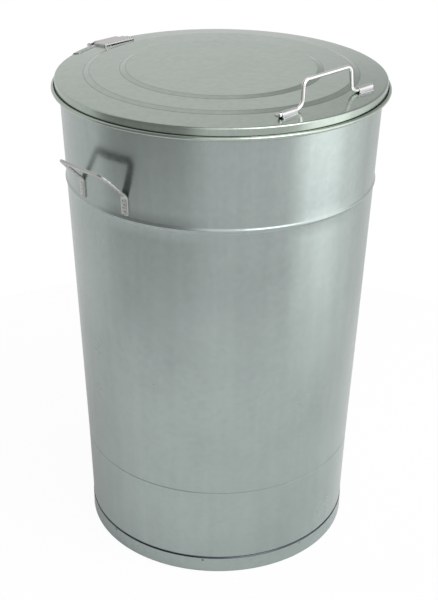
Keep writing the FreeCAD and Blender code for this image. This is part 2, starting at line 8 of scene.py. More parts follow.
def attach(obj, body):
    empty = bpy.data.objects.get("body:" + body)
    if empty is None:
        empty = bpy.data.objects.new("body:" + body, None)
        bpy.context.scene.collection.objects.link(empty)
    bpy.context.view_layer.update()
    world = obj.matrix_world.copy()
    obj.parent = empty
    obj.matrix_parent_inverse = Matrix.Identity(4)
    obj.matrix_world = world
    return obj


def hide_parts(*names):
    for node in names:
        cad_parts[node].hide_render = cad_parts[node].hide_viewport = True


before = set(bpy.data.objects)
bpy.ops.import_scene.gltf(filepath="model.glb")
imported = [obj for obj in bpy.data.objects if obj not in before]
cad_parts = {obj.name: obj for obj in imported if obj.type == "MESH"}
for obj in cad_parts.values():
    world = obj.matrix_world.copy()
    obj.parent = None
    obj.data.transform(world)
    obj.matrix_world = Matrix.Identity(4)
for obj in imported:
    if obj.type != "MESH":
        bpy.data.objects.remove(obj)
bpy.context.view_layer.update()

# All sizes are in metres, in the part's own frame.

# ---- Can wall -------------------------------------------------
# One tapered sheet of 0.8 mm galvanized steel, rolled to a cone and lapped at the rear right.
# A bead is rolled into it, its foot is creased by the forming roll, and its rim is curled
# outwards round a steel wire.

rim_top = 0.7187
wall_sheet = 0.0008
mouth_r = 0.2286
curl_r = 0.00165
curl_z = rim_top - curl_r - wall_sheet
crease_z, crease_r = 0.1467, 0.2058
crease_depth, crease_half = 0.00035, 0.0016
wall_foot_z, wall_foot_r = 0.027, 0.2023
bead_z, bead_half, bead_out = 0.574, 0.0045, 0.0018
seam_turn, seam_lap, seam_top_z = 60.0, 0.014, curl_z - 0.0085
seam_end = seam_turn + math.degrees(seam_lap / mouth_r)
wall_wave = 0.00035
rim_wire_r = 0.0016
air = 0.00005                           # between pieces that lie on each other


def wall_r(z):
    """Outside radius of the plain wall at a height."""
    if z < crease_z:
        share = (z - wall_foot_z) / (crease_z - wall_foot_z)
        return wall_foot_r + (crease_r - wall_foot_r) * share
    return crease_r + (mouth_r - crease_r) * (z - crease_z) / (curl_z - crease_z)


def arc_points(centre, r, start, end, count):
    """Points on an arc in a section, angles in degrees from outwards to up."""
    angles = [math.radians(start + (end - start) * i / count) for i in range(count + 1)]
    return [(centre[0] + r * math.cos(a), centre[1] + r * math.sin(a)) for a in angles]


def bearings(count, *special):
    """Even turns round the axis in degrees, and a few more close round each special one."""
    turns = {round(360 * k / count, 4) for k in range(count)}
    for middle in special:
        turns |= {round((middle + i * 0.12) % 360, 4) for i in range(-6, 7)}
    return sorted(turns)


def spun(profile, turns, shift=None):
    """Closed sheet spun about the can's axis from a closed section of (radius, height).

    shift gives how far a point stands off its place outwards and up, for dents and waves."""
    shape = bmesh.new()
    rings = []
    for turn in turns:
        angle = math.radians(turn)
        ring = []
        for r, z in profile:
            out, up = shift(turn, r, z) if shift else (0.0, 0.0)
            x, y = (r + out) * math.cos(angle), (r + out) * math.sin(angle)
            ring.append(shape.verts.new((x, y, z + up)))
        rings.append(ring)
    for here, there in zip(rings, rings[1:] + rings[:1]):
        for i in range(len(profile)):
            j = (i + 1) % len(profile)
            if max(profile[i][0], profile[j][0]) > 0.0:
                shape.faces.new([here[i], here[j], there[j], there[i]])
    bmesh.ops.remove_doubles(shape, verts=shape.verts, dist=1e-6)
    return shape


def finished(name, shape, body, material, *nodes, slot=None, crease=32.0):
    """The shape as an object that rides on a body and stands for CAD nodes."""
    bmesh.ops.recalc_face_normals(shape, faces=shape.faces)
    mesh = bpy.data.meshes.new(name)
    shape.to_mesh(mesh)
    shape.free()
    mesh.materials.append(material)
    mesh.shade_smooth()
    mesh.set_sharp_from_angle(angle=math.radians(crease))
    piece = bpy.data.objects.new(name, mesh)
    bpy.context.scene.collection.objects.link(piece)
    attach(piece, body)
    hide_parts(*nodes)


def step(tree, operation, *given, vector=False):
    """Output of a new node that works on sockets or plain values."""
    node = tree.nodes.new("ShaderNodeVectorMath" if vector else "ShaderNodeMath")
    node.operation = operation
    for socket, value in zip(node.inputs, given):
        if isinstance(value, bpy.types.NodeSocket):
            tree.links.new(value, socket)
        else:
            socket.default_value = value
    return next(out for out in node.outputs if out.enabled)


def reached(tree, value, start, end, low=0.0, high=1.0, smooth=False):
    """The value brought from the range start to end into the range low to high."""
    change = tree.nodes.new("ShaderNodeMapRange")
    if smooth:
        change.interpolation_type = "SMOOTHSTEP"
    for name, limit in (("From Min", start), ("From Max", end), ("To Min", low), ("To Max", high)):
        change.inputs[name].default_value = limit
    tree.links.new(value, change.inputs["Value"])
    return change.outputs["Result"]


# Colour of the painted shade laid along bends, creases and the edges where parts meet.
painted_shade_colour = (0.02, 0.025, 0.035, 1)


def galvanized(name, colour, rough, streaks=0.0, spangle=0.5, bump=0.05, smudge=0.02, painted_shade_lines=()):
    """Zinc-coated metal: faint crystals, soft smudges, a fine grain and vertical streaks.

    The last argument lists lines of painted shade in bends, creases and recesses: whether they go
    by height or by radius, the line's middle, its half width and how dark it is."""
    material = bpy.data.materials.new(name)
    material.use_nodes = True
    tree = material.node_tree
    nodes, links = tree.nodes, tree.links
    surface = nodes["Principled BSDF"]
    surface.inputs["Metallic"].default_value = 1.0
    place = nodes.new("ShaderNodeTexCoord").outputs["Object"]

    def cloud(scale, detail, low, high, stretch=(1, 1, 1)):
        """Soft noise between two values."""
        moved = nodes.new("ShaderNodeMapping")
        moved.inputs["Scale"].default_value = [scale * s for s in stretch]
        links.new(place, moved.inputs["Vector"])
        puffs = nodes.new("ShaderNodeTexNoise")
        puffs.inputs["Scale"].default_value = 1.0
        puffs.inputs["Detail"].default_value = detail
        links.new(moved.outputs["Vector"], puffs.inputs["Vector"])
        return reached(tree, puffs.outputs["Fac"], 0.25, 0.75, low, high)

    cells = nodes.new("ShaderNodeTexVoronoi")
    cells.inputs["Scale"].default_value = 140.0
    links.new(place, cells.inputs["Vector"])
    crystal = nodes.new("ShaderNodeSeparateColor")
    links.new(cells.outputs["Color"], crystal.inputs["Color"])
    glint = 0.03 * spangle
    tone = step(tree, "ADD", cloud(9.0, 2.0, -smudge, smudge),
                reached(tree, crystal.outputs["Red"], 0.25, 0.75, 1 - glint, 1 + glint))
    tone = step(tree, "ADD", tone, cloud(700.0, 1.0, -0.015, 0.015))
    if streaks:
        tone = step(tree, "ADD", tone, cloud(60.0, 3.0, -streaks, streaks, (1, 1, 0.03)))
    tint = nodes.new("ShaderNodeHueSaturation")
    tint.inputs["Color"].default_value = (*colour, 1)
    links.new(tone, tint.inputs["Value"])
    shade = tint.outputs["Color"]

    split = nodes.new("ShaderNodeSeparateXYZ")
    links.new(place, split.inputs["Vector"])
    level = step(tree, "MULTIPLY", place, (1, 1, 0), vector=True)
    measured = {"height": split.outputs["Z"],
                "radius": step(tree, "LENGTH", level, vector=True)}
    # Each line lays painted shade over the colour, darkest along its middle.
    for kind, middle, half, dark in painted_shade_lines:
        away = step(tree, "ABSOLUTE", step(tree, "SUBTRACT", measured[kind], middle))
        shade_line_mix = nodes.new("ShaderNodeMix")
        shade_line_mix.data_type = "RGBA"
        unshaded, darkened = [socket for socket in shade_line_mix.inputs if socket.type == "RGBA"]
        darkened.default_value = painted_shade_colour
        links.new(shade, unshaded)
        share = reached(tree, away, half, half * 0.4, 0.0, dark, smooth=True)
        links.new(share, shade_line_mix.inputs["Factor"])
        shade = next(out for out in shade_line_mix.outputs if out.type == "RGBA")
    links.new(shade, surface.inputs["Base Color"])

    gloss = step(tree, "ADD", cloud(14.0, 3.0, rough - 0.02, rough + 0.02),
                 reached(tree, crystal.outputs["Green"], 0.25, 0.75, -glint / 1.5, glint / 1.5))
    links.new(gloss, surface.inputs["Roughness"])
    relief = nodes.new("ShaderNodeBump")
    relief.inputs["Strength"].default_value = bump
    relief.inputs["Distance"].default_value = 0.0002
    links.new(cloud(350.0, 3.0, 0.25, 0.75), relief.inputs["Height"])
    links.new(relief.outputs["Normal"], surface.inputs["Normal"])
    return material


sheet_colour = (0.392, 0.446, 0.430)
# Painted shade: a faint dark line along the crease, and a painted shadow along the wall's lower
# edge where it laps over the foot ring.
wall_finish = galvanized("galvanized_wall", sheet_colour, 0.25, streaks=0.035, smudge=0.05,
                         painted_shade_lines=(("height", crease_z, 0.0012, 0.22),
                               ("height", wall_foot_z, 0.0008, 0.8)))


def rolled_in(place, middle, half):
    """Smooth rounded rib or dish: 1 at its middle, 0 at its sides."""
    t = (place - middle) / half
    return 0.5 + 0.5 * math.cos(math.pi * t) if abs(t) < 1 else 0.0


def dished(a, b, welds, half):
    """How deep a place lies in the dishes of spot welds: 1 in a middle, 0 outside them."""
    return sum(rolled_in(math.hypot(a - wa, b - wb), 0.0, half) for wa, wb in welds)


def wall_heights():
    """Heights up the wall, close together at the crease and the bead."""
    heights = [wall_foot_z, wall_foot_z + 0.002]
    heights += [wall_foot_z + (crease_z - wall_foot_z) * i / 8 for i in range(1, 8)]
    heights += [crease_z + crease_half * i / 4 for i in range(-5, 6)]
    low, high = bead_z - bead_half, bead_z + bead_half
    heights += [crease_z + (low - crease_z) * i / 24 for i in range(1, 24)]
    heights += [low + (high - low) * i / 16 for i in range(17)]
    heights += [high + (curl_z - high) * i / 9 for i in range(1, 10)]
    return heights


def wall_section():
    """Closed section of the wall: up the outside, round the curl and down the inside."""
    outside = []
    for z in wall_heights():
        ribs = bead_out * rolled_in(z, bead_z, bead_half)
        ribs -= crease_depth * rolled_in(z, crease_z, crease_half)
        outside.append((wall_r(z) + ribs, z))
    centre = (mouth_r + curl_r, curl_z)
    inner_curl = arc_points(centre, curl_r, 180, -110, 16)
    outer_curl = arc_points(centre, curl_r + wall_sheet, -110, 180, 22)
    inside = [(r - wall_sheet, z) for r, z in reversed(outside)]
    return outside[:-1] + inner_curl + outer_curl + inside[1:]


def wall_shift(turn, r, z):
    """Slow unevenness of the rolled sheet, and the lap that stands out down the rear."""
    fade = min((z - wall_foot_z) / 0.05, (rim_top - z) / 0.06, 1.0)
    angle = math.radians(turn)
    where = Vector((math.cos(angle) * 1.5, math.sin(angle) * 1.5, z * 4.0))
    out = wall_wave * fade * noise.noise(where)
    outer_side = r > wall_r(z) - wall_sheet / 2
    if seam_turn < turn < seam_end and outer_side and z < seam_top_z:
        out += wall_sheet
    return out, 0.0


wall_turns = bearings(360, seam_turn, seam_end)
finished("can_wall_sheet", spun(wall_section(), wall_turns, wall_shift), "can", wall_finish,
         "can_wall", slot="galvanized_sheet")

wire_finish = galvanized("plated_wire", (0.78, 0.77, 0.76), 0.27, spangle=0.2)
wire_ring = arc_points((mouth_r + curl_r, curl_z), rim_wire_r, 0, 345, 23)
finished("rim_wire_ring", spun(wire_ring, bearings(240)), "can", wire_finish, "rim_wire",
         slot="bright_wire")

# ---- Foot ring ------------------------------------------------
# A separate band of 1.2 mm galvanized steel under the wall. Its lower edge is folded inwards
# and stands on the floor; above its shoulder it is set in and nests inside the wall. Its
# ends meet in an upright joint, and eight spot welds hold it to the floor pan.

ring_sheet = 0.0012
ring_foot_r = 0.2028
ring_top_r = wall_foot_r - wall_sheet - air
ring_shoulder_z, ring_set_in = 0.0244, 0.0012
ring_top_z = 0.046
hem_z, ring_fold_r = 0.008, 0.0011
ring_weld_z, ring_weld_d, ring_dent = 0.0205, 0.0036, 0.0005
ring_welds = [39.6 + 45 * i for i in range(8)]
ring_dents = [(math.radians(turn) * ring_foot_r, ring_weld_z) for turn in ring_welds]
ring_joint, ring_joint_half = 281.55, 0.3


def ring_r(z):
    """Outside radius of the foot ring at a height."""
    share = max(0.0, min((z - ring_shoulder_z) / ring_set_in, 1.0))
    return ring_foot_r + (ring_top_r - ring_foot_r) * share


def ring_section():
    """Closed section of the ring, with a rounded fold at the floor."""
    heights = [0.002, 0.008, 0.014] + [0.018 + 0.0005 * i for i in range(11)]
    heights += [0.0240, 0.0244, 0.0247, 0.0251, 0.0256, 0.026, 0.036, ring_top_z]
    outside = arc_points((ring_foot_r - ring_fold_r, ring_fold_r), ring_fold_r, 270, 360, 5)
    outside += [(ring_r(z), z) for z in heights]
    inside = [(ring_r(z) - ring_sheet, z) for z in reversed(heights) if z >= hem_z]
    hem = arc_points((ring_foot_r - 1.5 * ring_sheet, hem_z), ring_sheet / 2, 90, 180, 4)
    hem += arc_points((ring_foot_r - 2 * ring_sheet + ring_fold_r, ring_fold_r), ring_fold_r,
                      180, 270, 5)
    return outside + inside + hem


def ring_shift(turn, r, z):
    """Dimples of the spot welds and the groove where the band's ends meet."""
    if r < ring_foot_r - ring_sheet / 2:
        return 0.0, 0.0
    out = -ring_dent * dished(math.radians(turn) * ring_foot_r, z, ring_dents, ring_weld_d)
    if z < ring_shoulder_z:
        out -= ring_dent * rolled_in(turn, ring_joint, ring_joint_half)
    return out, 0.0


# Painted shadow: a dark line at the ring's shoulder under the wall's edge, and painted shade where
# the ring stands on the floor.
ring_finish = galvanized("galvanized_ring", sheet_colour, 0.26, spangle=0.6, painted_shade_lines=(
    ("height", 0.0251, 0.0019, 0.9), ("height", 0.0002, 0.0016, 0.4)))
ring_turns = bearings(300, ring_joint, *ring_welds)
finished("foot_ring_band", spun(ring_section(), ring_turns, ring_shift), "can", ring_finish,
         "foot_ring", slot="galvanized_sheet")


def weld_mould():
    """Mould of one spot weld: a low dished button one metre across, on its axis."""
    line = [(0.18, 0.07), (0.30, 0.13), (0.40, 0.15), (0.47, 0.08), (0.5, -0.10)]
    middle = (0.0, 0.0, 0.06)
    points, faces, count = [], [], 14
    for k in range(count):
        turn = 2 * math.pi * k / count
        points += [(r * math.cos(turn), r * math.sin(turn), z) for r, z in line]
    rows = len(line)
    for k in range(count):
        a, b = k * rows, (k + 1) % count * rows
        faces += [(a + i, a + i + 1, b + i + 1, b + i) for i in range(rows - 1)]
        faces.append((len(points), a, b))
    faces.append([k * rows + rows - 1 for k in range(count)][::-1])
    mesh = bpy.data.meshes.new("weld_button")
    mesh.from_pydata(points + [middle], [], faces)
    return bpy.data.objects.new("weld_button", mesh)


def socket_id(tree, name):
    """Identifier of a node group's input."""
    return next(s.identifier for s in tree.interface.items_tree if s.name == name)


def button_tree():
    """Geometry Nodes group that sets a weld button on every point, square to its surface."""
    tree = bpy.data.node_groups.new("weld_buttons", "GeometryNodeTree")
    for name, kind in (("Points", "Geometry"), ("Button", "Object"), ("Diameter", "Float"),
                       ("Unevenness", "Float"), ("Seed", "Int"), ("Finish", "Material")):
        tree.interface.new_socket(name, in_out="INPUT", socket_type="NodeSocket" + kind)
    tree.interface.new_socket("Welds", in_out="OUTPUT", socket_type="NodeSocketGeometry")
    nodes, links = tree.nodes, tree.links
    given, made = nodes.new("NodeGroupInput"), nodes.new("NodeGroupOutput")
    facing = nodes.new("GeometryNodeInputNamedAttribute")
    facing.data_type = "FLOAT_VECTOR"
    facing.inputs["Name"].default_value = "facing"
    upright = nodes.new("FunctionNodeAlignRotationToVector")
    upright.axis = "Z"
    links.new(facing.outputs["Attribute"], upright.inputs["Vector"])
    uneven = nodes.new("FunctionNodeRandomValue")
    uneven.data_type = "FLOAT"
    for limit, operation in zip(uneven.inputs[2:4], ("SUBTRACT", "ADD")):
        links.new(step(tree, operation, 1.0, given.outputs["Unevenness"]), limit)
    links.new(given.outputs["Seed"], uneven.inputs["Seed"])
    scale = step(tree, "MULTIPLY", uneven.outputs[1], given.outputs["Diameter"])
    mould = nodes.new("GeometryNodeObjectInfo")
    links.new(given.outputs["Button"], mould.inputs["Object"])
    buttons = nodes.new("GeometryNodeInstanceOnPoints")
    links.new(given.outputs["Points"], buttons.inputs["Points"])
    links.new(mould.outputs["Geometry"], buttons.inputs["Instance"])
    links.new(upright.outputs["Rotation"], buttons.inputs["Rotation"])
    links.new(scale, buttons.inputs["Scale"])
    real = nodes.new("GeometryNodeRealizeInstances")
    links.new(buttons.outputs["Instances"], real.inputs["Geometry"])
    paint = nodes.new("GeometryNodeSetMaterial")
    links.new(real.outputs["Geometry"], paint.inputs["Geometry"])
    links.new(given.outputs["Finish"], paint.inputs["Material"])
    links.new(paint.outputs["Geometry"], made.inputs["Welds"])
    return tree


weld_button = weld_mould()
weld_tree = button_tree()
weld_finish = galvanized("weld_marks", (0.19, 0.192, 0.195), 0.34, spangle=0.2, bump=0.2)


def spot_welds(name, body, diameter, seed, places, *nodes):
    """Buttons of a group of spot welds, one for each place and outward direction."""
    points = bpy.data.meshes.new(name + "_points")
    points.from_pydata([tuple(place) for place, facing in places], [], [])
    facing = points.attributes.new("facing", "FLOAT_VECTOR", "POINT")
    facing.data.foreach_set("vector", [c for place, way in places for c in way])
    holder = bpy.data.objects.new(name + "_points", points)
    bpy.context.scene.collection.objects.link(holder)
    setting = holder.modifiers.new("welds", "NODES")
    setting.node_group = weld_tree
    for key, value in (("Button", weld_button), ("Diameter", diameter), ("Unevenness", 0.12),
                       ("Seed", seed), ("Finish", weld_finish)):
        setting[socket_id(weld_tree, key)] = value
    bpy.context.view_layer.update()
    graph = bpy.context.evaluated_depsgraph_get()
    buttons = bmesh.new()
    buttons.from_mesh(bpy.data.meshes.new_from_object(holder.evaluated_get(graph)))
    holder.modifiers.remove(setting)
    bpy.data.objects.remove(holder)
    finished(name, buttons, body, weld_finish, *nodes, slot="weld_marks")


ring_places = []
for turn in ring_welds:
    way = Vector((math.cos(math.radians(turn)), math.sin(math.radians(turn)), 0))
    ring_places.append((way * (ring_foot_r - 0.0006) + Vector((0, 0, ring_weld_z)), way))
spot_welds("foot_ring_weld_buttons", "can", ring_weld_d, 3, ring_places, "foot_ring_spot_welds")

# ---- Floor pan ------------------------------------------------
# The can's floor is a pressed disc of 0.8 mm sheet with a shallow well, its flange pushed
# down into the ring.

pan_z, pan_well_r, pan_well_depth, pan_well_slope = 0.040, 0.150, 0.003, 0.008
pan_gap = ring_sheet + air
pan_corner = 0.005


def pan_section():
    """Closed section of the pressed floor."""
    corner = (ring_top_r - pan_gap - pan_corner, pan_z - pan_corner)
    flange = [0.034, 0.0256, ring_shoulder_z, 0.014]
    well_z = pan_z - pan_well_depth
    top = [(0, well_z), (pan_well_r, well_z), (pan_well_r + pan_well_slope, pan_z)]
    top += arc_points(corner, pan_corner, 90, 0, 6)
    top += [(ring_r(z) - pan_gap, z) for z in flange]
    under = [(ring_r(z) - pan_gap - wall_sheet, z) for z in reversed(flange)]
    under += arc_points(corner, pan_corner - wall_sheet, 0, 90, 6)
    under += [(r, z - wall_sheet) for r, z in ((pan_well_r + pan_well_slope, pan_z),
                                               (pan_well_r, well_z), (0, well_z))]
    return top + under


pan_finish = galvanized("galvanized_pan", sheet_colour, 0.30, spangle=0.8)
finished("floor_pan", spun(pan_section(), bearings(240)), "can", pan_finish, "bottom_pan",
         slot="galvanized_sheet")

# ---- Side handles ---------------------------------------------
# Each is one crowned strip of steel bent to a U that leans out from the wall, with two flat
# feet held by five spot welds each.

strap_w, strap_edge, strap_crown = 0.0115, 0.0023, 0.0033
strap_half, strap_length, strap_corner_r = 0.0495, 0.0795, 0.015
strap_s = strap_half - strap_w / 2      # to the middle of the strap, across the handle
strap_l = strap_length - strap_w / 2    # and along it from its lower end
strap_turn_r = strap_corner_r - strap_w / 2
strap_foot, strap_foot_z = 0.025, 0.580
strap_bend_r, strap_lean = 0.018, math.radians(45)
wall_lean = math.atan2(mouth_r - crease_r, curl_z - crease_z)
foot_pitch, foot_stagger, foot_weld_d = 0.0050, 0.0020, 0.0024
foot_dish_depth, foot_dish_r = 0.0007, 0.0021
foot_welds = [(side * (strap_s + (i % 2 - 0.5) * foot_stagger),
               strap_foot / 2 + (i - 2) * foot_pitch) for side in (-1, 1) for i in range(5)]


def stops(length, edge, parts):
    """Places across a length: close together within its rounded edges, even between them."""
    near = [0.0, 0.15 * edge, 0.5 * edge, edge]
    middle = [edge + (length - 2 * edge) * i / parts for i in range(1, parts)]
    return [d - length / 2 for d in near + middle + [length - d for d in reversed(near)]]


def pressed(shape, size, corner, edge, parts, bend, top, under=None):
    """Adds a closed piece of sheet with rounded corners and a rounded upper edge.

    size is the flat blank's width and length; bend(a, b, h) puts a place on the blank and a
    height over its under face in the frame; top(a, b) and under(a, b) are the two heights."""
    width, length = size
    rows = stops(length, edge, parts[1])
    if corner > edge:
        for i in range(1, 5):
            rows += [side * (length / 2 - corner * i / 4) for side in (-1, 1)]
        rows = sorted(rows)
    across = stops(width, edge, parts[0])

    def rounding(a, b):
        """How far the upper face drops towards the blank's outline."""
        past_a, past_b = abs(a) - (width / 2 - corner), abs(b) - (length / 2 - corner)
        inside = min(width / 2 - abs(a), length / 2 - abs(b))
        if past_a > 0 and past_b > 0:
            inside = corner - math.hypot(past_a, past_b)
        left = edge - max(0.0, min(inside, edge))
        return edge - math.sqrt(edge ** 2 - left ** 2)

    upper, lower = [], []
    for b in rows:
        past = max(0.0, abs(b) - (length / 2 - corner))
        narrower = corner - math.sqrt(max(corner ** 2 - past ** 2, 0.0))
        for a0 in across:
            a = a0 * (width / 2 - narrower) / (width / 2)
            upper.append(shape.verts.new(bend(a, b, top(a, b) - rounding(a, b))))
            lower.append(shape.verts.new(bend(a, b, under(a, b) if under else 0.0)))
    n, m = len(across), len(rows)
    for j in range(m - 1):
        for i in range(n - 1):
            k = j * n + i
            shape.faces.new([upper[p] for p in (k, k + 1, k + n + 1, k + n)])
            shape.faces.new([lower[p] for p in (k, k + n, k + n + 1, k + 1)])
    rim = [i for i in range(n)] + [j * n + n - 1 for j in range(1, m)]
    rim += [(m - 1) * n + i for i in range(n - 2, -1, -1)] + [j * n for j in range(m - 2, 0, -1)]
    for p, q in zip(rim, rim[1:] + rim[:1]):
        shape.faces.new([upper[q], upper[p], lower[p], lower[q]])


def strap_place(s, l):
    """Point under the strap, its outward normal and its two directions, on a handle at +X."""
    bend = strap_bend_r * (strap_lean - wall_lean)
    past = max(l - strap_foot, 0)
    lean = wall_lean + min(past, bend) / strap_bend_r
    straight = max(past - bend, 0)
    freed = min(past / bend, 1)
    z = strap_foot_z + min(l, strap_foot)
    radius = wall_r(z) + air
    turn = math.asin(s / radius) * (1 - freed)
    out = strap_bend_r * (math.cos(wall_lean) - math.cos(lean)) + straight * math.sin(lean)
    rise = strap_bend_r * (math.sin(lean) - math.sin(wall_lean)) + straight * math.cos(lean)
    seated = math.sqrt(radius ** 2 - s ** 2)
    x = seated + (radius - seated) * freed + out
    sideways = Vector((-math.sin(turn), math.cos(turn), 0))
    ahead = Vector((math.cos(turn), math.sin(turn), 0))
    up = ahead * math.sin(lean) + Vector((0, 0, math.cos(lean)))
    normal = ahead * math.cos(lean) - Vector((0, 0, math.sin(lean)))
    return Vector((x, s, z + rise)), normal, up, sideways


def strap_at(t):
    """Place on the flat U at a length from its top middle: across, up and its heading."""
    leg = strap_l - strap_turn_r
    grip = strap_s - strap_turn_r
    quarter = math.pi / 2 * strap_turn_r
    side, t = (1 if t >= 0 else -1), abs(t)
    if t < grip:
        return side * t, strap_l, 90.0
    if t < grip + quarter:
        angle = (t - grip) / strap_turn_r
        return (side * (grip + strap_turn_r * math.sin(angle)),
                leg + strap_turn_r * math.cos(angle), 90.0 - side * math.degrees(angle))
    return side * strap_s, leg - (t - grip - quarter), 90.0 - side * 90.0


def strap_handle(turned):
    """One strap handle and its weld places; turned puts it on the other side."""
    half_length = strap_s - strap_turn_r + math.pi / 2 * strap_turn_r + strap_l - strap_turn_r
    spin = Matrix.Rotation(math.pi if turned else 0.0, 3, "Z")

    def bend(a, t, h):
        s, l, heading = strap_at(t)
        angle = math.radians(heading)
        s, l = s + a * math.cos(angle), l + a * math.sin(angle)
        point, normal = strap_place(s, max(l, 0.0))[:2]
        return spin @ (point + normal * h)

    def top(a, t):
        s, l, heading = strap_at(t)
        angle = math.radians(heading)
        s, l = s + a * math.cos(angle), l + a * math.sin(angle)
        height = strap_crown - (strap_crown - strap_edge) * (2 * a / strap_w) ** 2
        return height - foot_dish_depth * dished(s, l, foot_welds, foot_dish_r)

    shape = bmesh.new()
    pressed(shape, (strap_w, 2 * half_length), 0.0028, 0.0008, (24, 420), bend, top)
    places = []
    for s, l in foot_welds:
        point, normal = strap_place(s, l)[:2]
        places.append((spin @ (point + normal * (strap_crown - 0.0009)), spin @ normal))
    return shape, places


strap_finish = galvanized("galvanized_strap", (0.49, 0.495, 0.475), 0.27, spangle=0.3)
side_places = []
for side, turned in (("right", False), ("left", True)):
    shape, places = strap_handle(turned)
    side_places += places
    finished("strap_handle_" + side, shape, "can", strap_finish, "side_handle_" + side,
             slot="galvanized_fittings")
spot_welds("side_handle_weld_buttons", "can", foot_weld_d, 5, side_places,
           "side_handle_spot_welds")

# ---- Hinge bracket and pin ------------------------------------
# A base sheet bent to the wall's curve, two ears that carry the pin and a web between them
# that stops the lid. The pin's two heads are peened over.

hinge_x = -0.014
pin_y, pin_z = 0.249, 0.7115
bracket_t, bracket_w, bracket_top, bracket_h = 0.002, 0.062, 0.690, 0.034
bracket_weld_inset, bracket_weld_d = 0.0075, 0.0042
base_dish_depth, base_dish_r = 0.0007, 0.0034
ear_gap, ear_boss_r, ear_reach, ear_root_z = 0.0204, 0.0055, 0.010, 0.6930
ear_neck_y, ear_neck_z = 0.2445, 0.7003
web_top, web_t = 0.7021, 0.002
pin_head = [(0.0016, 0.0016), (0.0015, 0.0026), (0.0011, 0.0036), (0.0005, 0.0040),
            (0.0, 0.0039), (-0.0001, 0.0025)]   # out from the ear, and the radius there


def on_wall(a, b, h):
    """Place of the bracket's base on the wall, above its bead."""
    z = bracket_top - bracket_h / 2 + b
    x = hinge_x + a
    radius = wall_r(z) + air + h
    return Vector((x, math.sqrt(radius ** 2 - x ** 2), z))


def skinned(shape, rings):
    """Adds the faces between rings of points and closes both ends."""
    for low, high in zip(rings, rings[1:]):
        for i in range(len(low)):
            j = (i + 1) % len(low)
            shape.faces.new([low[i], low[j], high[j], high[i]])
    shape.faces.new(rings[0][::-1])
    shape.faces.new(rings[-1])


def plate(shape, outline, x, thick, edge=0.0004):
    """Adds a flat plate across X from its outline in (y, z), its edges slightly rounded."""
    rings = []
    for inset, offset in ((edge, 0.0), (0.0, edge), (0.0, thick - edge), (edge, thick)):
        ring = []
        count = len(outline)
        for i, (y, z) in enumerate(outline):
            before, after = Vector(outline[i - 1]), Vector(outline[(i + 1) % count])
            along = (after - before).normalized()
            inward = Vector((-along.y, along.x)) * inset
            ring.append(shape.verts.new((x - thick / 2 + offset, y + inward.x, z + inward.y)))
        rings.append(ring)
    skinned(shape, rings)


def rounded_outline(corners, steps=5):
    """Outline with its corners rounded, each corner a place and its radius."""
    line = []
    for i, (y, z, r) in enumerate(corners):
        here, before = Vector((y, z)), Vector(corners[i - 1][:2])
        after = Vector(corners[(i + 1) % len(corners)][:2])
        back, on = (before - here).normalized(), (after - here).normalized()
        cut = r / math.tan(back.angle(on) / 2)
        start, end = here + back * cut, here + on * cut
        for k in range(steps + 1):
            t = k / steps
            line.append(tuple(start * (1 - t) ** 2 + here * 2 * t * (1 - t) + end * t ** 2))
    return line


bracket_shape = bmesh.new()
weld_across = (bracket_w / 2 + ear_gap + bracket_t) / 2
base_welds = [(side * weld_across, up * (bracket_h / 2 - bracket_weld_inset))
              for side in (-1, 1) for up in (-1, 1)]


def base_top(a, b):
    """Upper face of the bracket's base, dished at its welds."""
    return bracket_t - base_dish_depth * dished(a, b, base_welds, base_dish_r)


pressed(bracket_shape, (bracket_w, bracket_h), 0.003, 0.0005, (64, 40), on_wall, base_top)
ear_back = wall_r(bracket_top - bracket_h) + 0.0006
ear_line = [
    (ear_back, bracket_top - bracket_h, 0.001), (pin_y + ear_reach, ear_root_z, 0.003),
    (pin_y + ear_reach, web_top, 0.0015), (pin_y + ear_boss_r, web_top, 0.001),
    (pin_y + ear_boss_r, pin_z + ear_boss_r, 0.0052),
    (pin_y - ear_boss_r, pin_z + ear_boss_r, 0.0052),
    (pin_y - ear_boss_r, pin_z - 0.003, 0.002), (ear_neck_y, ear_neck_z, 0.004),
    (wall_r(bracket_top) + 0.0006, bracket_top, 0.001)]
for side in (-1, 1):
    plate(bracket_shape, rounded_outline(ear_line), hinge_x + side * (ear_gap + bracket_t / 2),
          bracket_t)
web_front, web_back = pin_y + ear_reach - web_t, pin_y + ear_reach
web_low, web_high = ear_root_z + 0.0001, web_top - 0.0001
web_line = rounded_outline([(y, z, 0.0006) for y, z in (
    (web_front, web_low), (web_back, web_low), (web_back, web_high), (web_front, web_high))])
plate(bracket_shape, web_line, hinge_x, 2 * ear_gap + bracket_t / 2)
finished("hinge_bracket_pressing", bracket_shape, "can", strap_finish, "hinge_bracket",
         slot="galvanized_fittings")
bracket_places = []
for a, b in base_welds:
    foot, head = on_wall(a, b, 0.0), on_wall(a, b, bracket_t)
    bracket_places.append((on_wall(a, b, bracket_t - 0.0006), (head - foot).normalized()))
spot_welds("hinge_bracket_weld_buttons", "can", bracket_weld_d, 7, bracket_places,
           "hinge_bracket_spot_welds")


def tube(shape, path, radii, around=20):
    """Adds a closed round bar along a path, with its own radius at each point."""
    aim = (path[1] - path[0]).normalized()
    side = aim.orthogonal().normalized()
    rings = []
    for i, point in enumerate(path):
        ahead = (path[min(i + 1, len(path) - 1)] - path[max(i - 1, 0)]).normalized()
        side = (side - ahead * side.dot(ahead)).normalized()
        other = ahead.cross(side)
        turns = [2 * math.pi * k / around for k in range(around)]
        rings.append([shape.verts.new(point + (side * math.cos(t) + other * math.sin(t)) * radii[i])
                      for t in turns])
    skinned(shape, rings)


